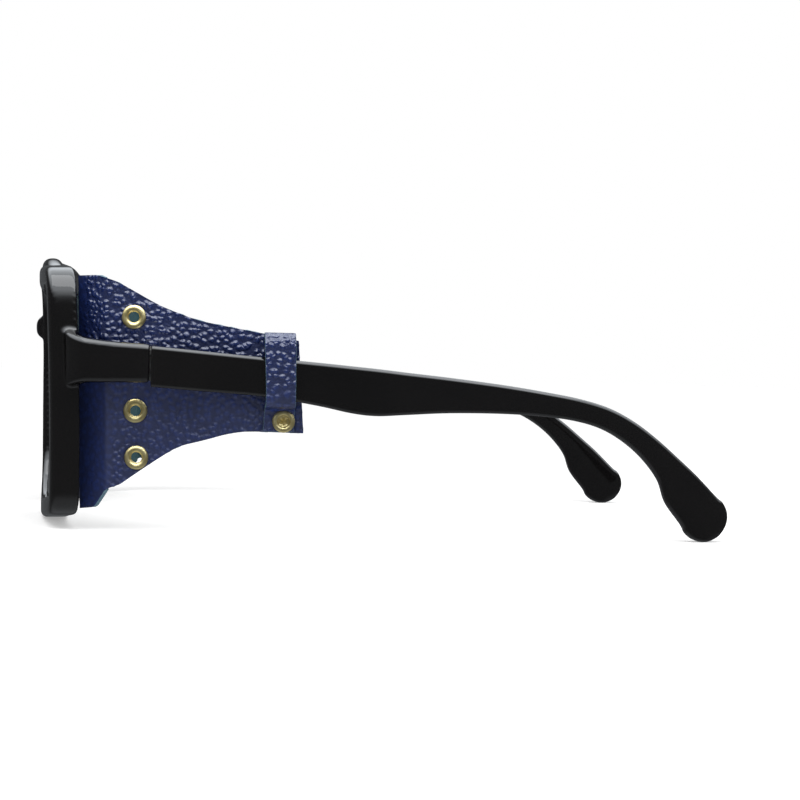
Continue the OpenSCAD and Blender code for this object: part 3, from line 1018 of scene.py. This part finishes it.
@dataclass
class SideShield:
    """A leather side shield, its vent eyelets, and the strap that holds it to the temple."""

    plan: tuple[Corner, ...] = ((59.6, -16.6, 0), (64.4, -10.2, 1.3), (64.4, 4.0, 25), (67.2, 23.5, 30),
                                (67.2, 36, 0))
    top: tuple[Corner, ...] = ((-26, 57.6, 0), (-12.2, 57.5, 4), (-7.6, 56, 8), (2, 50.6, 25),
                               (10, 48.2, 30), (26, 45.5, 30), (40, 43, 0))
    low: tuple[Corner, ...] = ((-26, 3, 0), (-13.2, 4.6, 1.5), (-10.4, 8.8, 2), (-7, 9.9, 4),
                               (6.5, 19.2, 14), (20, 23.4, 25), (40, 23.2, 0))
    vents: tuple[Point, ...] = ((-4.3, 48.6), (-3.4, 27.3), (-2.9, 16.7))
    thickness: float = 1.3
    strap_t: float = 1.15
    eyelet_r: float = 2.75
    vent_r: float = 1.25
    rivet: Point = (30.2, 25.9)
    rivet_r: float = 2.6
    strap_y: float = 25.6
    strap_w: float = 7.0
    strap_foot: float = 23.5
    strap_top: float = 45.9
    strap_step: Point = (28.4, 29.4)
    strap_gap: float = 0.25
    hide_shift: Point = (30, 22)
    panel_x: float = 67.2
    vent_x: float = 64.4
    rear_trim: float = 1.2
    rear_slant: float = 0.03
    band: Point = (8.5, 12.0)
    band_narrows: float = 7.0
    pebble_size: float = 1.75
    pebble_rise: float = 0.17
    roll_depth: float = 0.16
    fold_depth: float = 0.13
    fold_middle: Point = (-9.0, 11.0)
    fold_reach: Point = (3.4, 4.5)
    barrel_wall: Point = (0.4, 0.42)
    collar_rise: float = 0.66
    cup_depth: float = 1.6
    petal_dent: float = 0.22
    bend_start: float = -2.5
    bend_end: float = 8.0

    @property
    def track(self) -> Track:
        """The sheet's outer face in plan, from the flange behind the rim to the rear edge."""
        return Track(rounded(self.plan, closed=False))

    def edges(self, y: np.ndarray) -> tuple[np.ndarray, np.ndarray]:
        """The sheet's lower and upper edge at each y."""
        low, top = (np.array(rounded(line, closed=False)) for line in (self.low, self.top))
        return np.interp(y, low[:, 0], low[:, 1]), np.interp(y, top[:, 0], top[:, 1])

    @property
    def pattern(self) -> tuple[float, float, float]:
        """Width, height and area of the flat cut sheet, in metres, from unrolling its plan."""
        s = np.linspace(0, self.track.length - self.rear_trim, 600)
        low, top = self.edges(self.track.at(s)[:, 1])
        return s[-1] * MM, float(top.max() - low.min()) * MM, float((top - low).mean() * s[-1]) * MM ** 2

    def sheet(self, side: Side) -> bpy.types.Object:
        """The cut sheet: a grid laid along its plan, creased, pebbled, thickened and punched."""
        piece, a, b = Bench.grid(f"SideShield{side.name.title()}", 196, 150)
        track = self.track
        s = a * (track.length - self.rear_trim) * (1.0 - self.rear_slant * b)
        plan = track.at(s)
        low, top = self.edges(plan[:, 1])
        z = low + (top - low) * b
        rows = columns(plan[:, 0], plan[:, 1], z)
        front = 1 - smooth_step(-6, 14, plan[:, 1])
        rows = front[:, None] * leaned(rows) + (1 - front[:, None]) * rows
        rows[:, 0] += self.relief(s, z, plan[:, 1])
        Bench.put(piece, rows)
        self._uv(piece, s, z)
        if sum(face.normal.x for face in piece.data.polygons) < 0:
            Bench.edit(piece, bpy.ops.mesh.flip_normals)
        self._pebble(piece, s + self.band_narrows * smooth_step(30, 42, z))
        self._harden(piece, self.thickness)
        self._punch(piece, (*self.vents, self.rivet))
        return piece

    def relief(self, s: np.ndarray, z: np.ndarray, y: np.ndarray) -> np.ndarray:
        """How far the face stands out of its plan.

        Args:
            s: Distance of each point along the plan.
            z: Its height.
            y: Its place from the joint line to the rear.

        Returns:
            Soft undulation, with wrinkles at the lower front corner and none under the strap.
        """
        roll = self.roll_depth * np.sin(y * 0.34 + z * 0.11) * np.cos(z * 0.19 - y * 0.07)
        (middle_y, middle_z), (reach_y, reach_z) = self.fold_middle, self.fold_reach
        corner = np.exp(-((y - middle_y) / reach_y) ** 2 - ((z - middle_z) / reach_z) ** 2)
        folds = self.fold_depth * np.sin((z + 0.8 * y) * 3.3) * corner
        lip = smooth_step(0, 12, s)
        return (roll + folds) * lip * (1 - smooth_step(19, 25, y))

    @staticmethod
    def _uv(piece: bpy.types.Object, s: np.ndarray, z: np.ndarray) -> None:
        """Lays the pattern out flat, in units of 100 mm."""
        layer = piece.data.uv_layers.active or piece.data.uv_layers.new(name="Cut")
        corner = np.zeros(len(piece.data.loops), int)
        piece.data.loops.foreach_get("vertex_index", corner)
        layer.data.foreach_set("uv", columns(s[corner], z[corner]).ravel() / 100)

    def _pebble(self, piece: bpy.types.Object, s: np.ndarray) -> None:
        """Raises the grain's larger pebbles, but not in the smooth band beside the rim."""
        group = piece.vertex_groups.new(name="grain")
        weights = smooth_step(*self.band, s)
        for i, weight in enumerate(weights):
            group.add([i], float(weight), "REPLACE")
        grain = bpy.data.textures.new("Grain", "VORONOI")
        grain.noise_scale = self.pebble_size
        grain.noise_intensity = 1.0
        Bench.modify(piece, "DISPLACE", texture=grain, texture_coords="LOCAL", direction="NORMAL",
                     strength=-self.pebble_rise, mid_level=0.5, vertex_group="grain")

    @staticmethod
    def _harden(piece: bpy.types.Object, thickness: float) -> None:
        """Gives a face its thickness inwards, with flesh side and cut edges in their own finishes."""
        GrainLeather().dress(piece, FleshLeather(), CutLeather())
        Bench.modify(piece, "SOLIDIFY", thickness=thickness, offset=-1.0, material_offset=1,
                     material_offset_rim=2, use_even_offset=True)
        Bench.modify(piece, "BEVEL", width=0.2, segments=2, limit_method="ANGLE",
                     angle_limit=math.radians(55))

    def _punch(self, piece: bpy.types.Object, holes: Sequence[Point]) -> None:
        """Punches a round hole through the piece at each (y, z)."""
        punches = []
        for y, z in holes:
            punches.append(Bench.add("Punch", bpy.ops.mesh.primitive_cylinder_add, vertices=40, depth=16,
                                     radius=self.vent_r + 0.5, location=(self.panel_x - 2.7, y, z),
                                     rotation=(0, math.pi / 2, 0)))
        punch = Bench.joined("Punch", punches)
        bpy.ops.object.transform_apply(location=True, rotation=True, scale=True)
        Bench.modify(piece, "BOOLEAN", operation="DIFFERENCE", object=punch, solver="EXACT")
        bpy.data.objects.remove(punch)

    def strap(self, side: Side) -> bpy.types.Object:
        """The strap: a band that saddles the panel's top edge and goes round the temple."""
        x, t = self.panel_x, self.strap_t
        leg, inside = OUTER_X + self.strap_gap + t, x - 1.2 - t
        foot, top = self.strap_foot, self.strap_top
        low, high = self.strap_step
        track = Track(rounded([(x + t, foot, 0), (x + t, low, 1.4), (leg, high, 2.6), (leg, top, 3.4),
                               (inside, top, 2.4), (inside, foot, 0)], closed=False))
        piece, a, b = Bench.grid(f"Strap{side.name.title()}", 260, 24)
        s = a * track.length
        line_at = track.at(s)
        waist = 1 - 0.05 * np.sin(math.pi * np.clip(s / 22, 0, 1))
        y = self.strap_y + self.strap_w * (0.5 + (b - 0.5) * waist) + 0.25 * np.sin(s * 0.16)
        Bench.put(piece, columns(line_at[:, 0], y, line_at[:, 1]))
        self._uv(piece, y + self.hide_shift[0], s + self.hide_shift[1])
        near = min(piece.data.polygons, key=lambda f: (f.center - Vector((leg, 29, 38))).length)
        if near.normal.x < 0:
            Bench.edit(piece, bpy.ops.mesh.flip_normals)
        self._harden(piece, self.strap_t)
        self._punch(piece, (self.rivet,))
        return piece

    def eyelet(self, name: str, collar: float, reach: float) -> bpy.types.Object:
        """One eyelet about the origin: a barrel through the leather and a rolled collar on its face.

        Args:
            name: Name of the piece.
            collar: Outside radius of the collar.
            reach: How far the barrel goes in.

        Returns:
            The eyelet, with its face towards +X.
        """
        hole = self.vent_r
        mid, half = (collar + hole) / 2, (collar - hole) / 2
        roll = [(0.08 + self.collar_rise * math.sin(t) ** 0.8, mid + half * math.cos(t))
                for t in map(math.radians, range(8, 181, 12))]
        inner, outer = self.barrel_wall
        return Bench.turned(name, [(-reach, hole), (-reach, hole + inner), (0.0, hole + outer),
                                   (0.0, collar - 0.12), *roll])

    def eyelets(self, side: Side) -> bpy.types.Object:
        """The three vent eyelets of one side."""
        name = f"VentEyelets{side.name.title()}"
        first = self.eyelet(name, self.eyelet_r, self.thickness + 0.55)
        rings = [Bench.copied(first, f"{name}{i}") for i in (1, 2)]
        for ring, (y, z) in zip([first, *rings], self.vents):
            Bench.moved(ring, self.vent_x, y, z)
        return Bench.joined(name, [first, *rings])

    def petals(self, name: str) -> bpy.types.Object:
        """The closed end of the rivet's barrel: a shallow cup pressed into six petals."""
        deep, wall, dent = self.cup_depth, self.vent_r + 0.1, self.petal_dent
        profile = [(-deep, 0.0), (-deep, wall), (0.1, wall), (0.2, self.vent_r - 0.15), (0.05, 0.9),
                   (-0.25, 0.5), (-0.4, 0.0)]
        piece = Bench.turned(name, profile)
        rows = Bench.corners(piece)
        reach, turn = np.hypot(rows[:, 1], rows[:, 2]), np.arctan2(rows[:, 2], rows[:, 1])
        press = dent * np.abs(np.cos(3 * turn)) * np.exp(-((reach - 0.75) / 0.4) ** 2)
        rows[:, 0] -= np.where(rows[:, 0] > -0.6, dent * (reach < 1.2) - press, 0)
        Bench.put(piece, rows)
        Bench.edit(piece, bpy.ops.mesh.delete_loose)
        return piece

    def strap_rivet(self, side: Side) -> bpy.types.Object:
        """The rivet through strap and panel: an eyelet whose barrel is swaged over in petals."""
        name = f"StrapRivet{side.name.title()}"
        ring = Bench.joined(name, [self.eyelet(name, self.rivet_r, 4.1), self.petals("Petals")])
        Bench.moved(ring, self.panel_x + self.strap_t, *self.rivet)
        return ring

    def finish_brass(self, piece: bpy.types.Object, body: str, node: str) -> None:
        """Sets a brass piece down on its body in place of its node."""
        Bench.smooth(piece, 40)
        deliver(piece, PaleBrass(), body, node)

    def build(self, side: Side) -> list[bpy.types.Object]:
        """All the leather and brass of one side."""
        sheet, strap = self.sheet(side), self.strap(side)
        eyelets, rivet = self.eyelets(side), self.strap_rivet(side)
        for piece in (sheet, strap, eyelets, rivet):
            Bench.to_side(piece, side)
        word = side.word
        self.finish_brass(eyelets, "front", f"vent_eyelets_{word}")
        self.finish_brass(rivet, side.arm, f"strap_rivet_{word}")
        for piece in (strap, sheet):
            Bench.smooth(piece, 50)
            Bench.set_down(piece)
        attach(strap, side.arm)
        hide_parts(f"strap_{word}")
        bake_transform(sheet)
        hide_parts(f"shield_front_{word}", f"shield_rear_{word}", f"shield_flex_{word}")
        width, height, area = self.pattern
        LOG.info("%s: flat %.1f by %.1f mm, %.0f mm2", sheet.name, width / MM, height / MM, area / MM ** 2)
        return [sheet, strap, eyelets, rivet]


# ---------------------------------------------------------------- CAD nodes that stay


def dress_hardware() -> None:
    """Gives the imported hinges, washers and cores their own metals."""
    finishes = {"front_leaf": HingeSteel(), "temple_leaf": HingeSteel(), "hinge_screw": HingeSteel(),
                "temple_core": HingeSteel(), "vent_washers": PaleBrass(), "rivet_cap": PaleBrass()}
    for side in Side:
        for stem, finish in finishes.items():
            piece = frame["nodes"][f"{stem}_{side.word}"]
            material = finish.material()
            if not piece.material_slots:
                piece.data.materials.append(material)
            for slot in piece.material_slots:
                slot.material = material


# ---------------------------------------------------------------- studio


@dataclass
class Studio:
    """White floor, one large overhead softbox, the light around them, and the camera."""

    eye: tuple[float, float, float] = (0.490, JOINT_Y * MM + 0.0189, 0.0392)
    lens_mm: float = 83.8
    roll: float = math.radians(1.6)
    yaw: float = math.radians(3.96)
    shift_x: float = 0.045
    shift_y: float = -0.044

    def camera(self) -> None:
        """Places the camera at the wearer's left, turned a little to the rear and with a slight roll."""
        Bench.clear()
        bpy.ops.object.camera_add()
        camera = bpy.context.active_object
        camera.name = "Camera"
        camera.data.lens = self.lens_mm
        camera.data.sensor_width = 36.0
        camera.data.shift_x = self.shift_x
        camera.data.shift_y = self.shift_y
        camera.data.clip_start = 0.01
        cos, sin = math.cos(self.roll), math.sin(self.roll)
        square = Matrix(((0, 0, 1, 0), (cos, -sin, 0, 0), (sin, cos, 0, 0), (0, 0, 0, 1)))
        camera.matrix_world = Matrix.Translation(self.eye) @ Matrix.Rotation(-self.yaw, 4, "Z") @ square
        bpy.context.scene.camera = camera

    @staticmethod
    def softbox(name: str, place: Place, target: Place, size: Point, power: float) -> None:
        """Adds a rectangular light.

        Args:
            name: Name of the light.
            place: Where it hangs, in metres.
            target: The point that it faces.
            size: Its two sides, in metres.
            power: Its power in watts.
        """
        Bench.clear()
        bpy.ops.object.light_add(type="AREA", location=place)
        light = bpy.context.active_object
        light.name = name
        light.data.shape = "RECTANGLE"
        light.data.size, light.data.size_y = size
        light.data.energy = power
        light.rotation_euler = (Vector(target) - Vector(place)).to_track_quat("-Z", "Y").to_euler()

    def world(self) -> None:
        """White for the eye and for matte surfaces; in reflections bright above and dark at eye level."""
        world = bpy.data.worlds.new("Studio")
        bpy.context.scene.world = world
        world.use_nodes = True
        palette = Palette(world.node_tree)
        seen = palette.node("ShaderNodeLightPath", {}, {}, "Is Camera Ray")
        glossy = palette.node("ShaderNodeLightPath", {}, {}, "Is Glossy Ray")
        where = palette.coordinates("Generated")
        way, rise = palette.part(where, "X"), palette.part(where, "Z")
        beyond = (palette.range(way, -0.8, 0.0, 0.1, 0.13) + palette.range(rise, 0.36, 0.75, 0.0, 4.0)
                  + palette.range(rise, -0.9, -0.45, 0.35, 0.0))
        white, soft, dark = (
            palette.node("ShaderNodeBackground", {}, {"Color": (*tint, 1), "Strength": level})
            for tint, level in (((1, 1, 1), 1.0), ((1, 1, 1), 0.85), ((0.9, 0.95, 1), beyond)))
        lit = palette.node("ShaderNodeMixShader", {}, {0: glossy, 1: soft, 2: dark})
        view = palette.node("ShaderNodeMixShader", {}, {0: seen, 1: lit, 2: white})
        palette.node("ShaderNodeOutputWorld", {}, {"Surface": view})

    def build(self) -> None:
        """Sets the whole studio up."""
        self.camera()
        self.world()
        floor = Bench.add("Floor", bpy.ops.mesh.primitive_plane_add, size=12.0)
        floor.data.materials.append(StageWhite().material())
        floor.visible_glossy = False
        self.softbox("TopSoftbox", (0.16, -0.02, 0.42), (0.02, 0.0, 0.03), (0.6, 0.3), 1.6)
        bpy.context.scene.view_settings.view_transform = "Standard"


def main() -> None:
    """Builds the glasses piece by piece and reports each."""
    logging.basicConfig(level=logging.INFO, format="%(name)s: %(message)s")
    Studio().build()
    front, temple, shield = FrontFrame(), Temple(), SideShield()
    pieces = [front.build()]
    for side in Side:
        pieces += [front.lens(side), front.nose_pad(side), temple.build(side), *shield.build(side)]
    dress_hardware()
    for piece in pieces:
        LOG.info("%s: %d faces", piece.name, len(piece.data.polygons))


if __name__ == "__main__":
    main()
